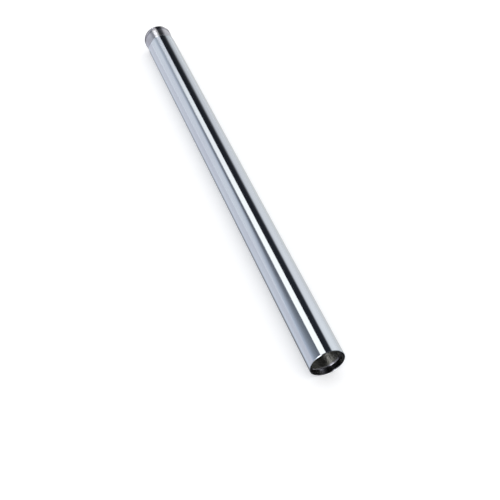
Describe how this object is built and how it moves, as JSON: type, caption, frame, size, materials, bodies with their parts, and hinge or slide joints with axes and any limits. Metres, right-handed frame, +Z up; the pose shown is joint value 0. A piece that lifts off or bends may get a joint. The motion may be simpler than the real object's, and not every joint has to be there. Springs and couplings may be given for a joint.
{
  "type": "motorcycle fork tube",
  "caption": "Hard-chromed steel inner fork tube, with a ground bush seat and lip at one end and a stepped, threaded mouth at the other.",
  "frame": {"origin": "on the surface the tube lies on, below the middle of its length", "axes": "+X along the tube towards the open mouth for the cap, with the bush seat at -X; +Z up; +Y across"},
  "size_m": [0.637, 0.0408, 0.041],
  "materials": {
    "hard_chrome": "ground and polished hard chrome"
  },
  "bodies": {
    "root": {"fork_tube": "hard_chrome"}
  },
  "joints": []
}
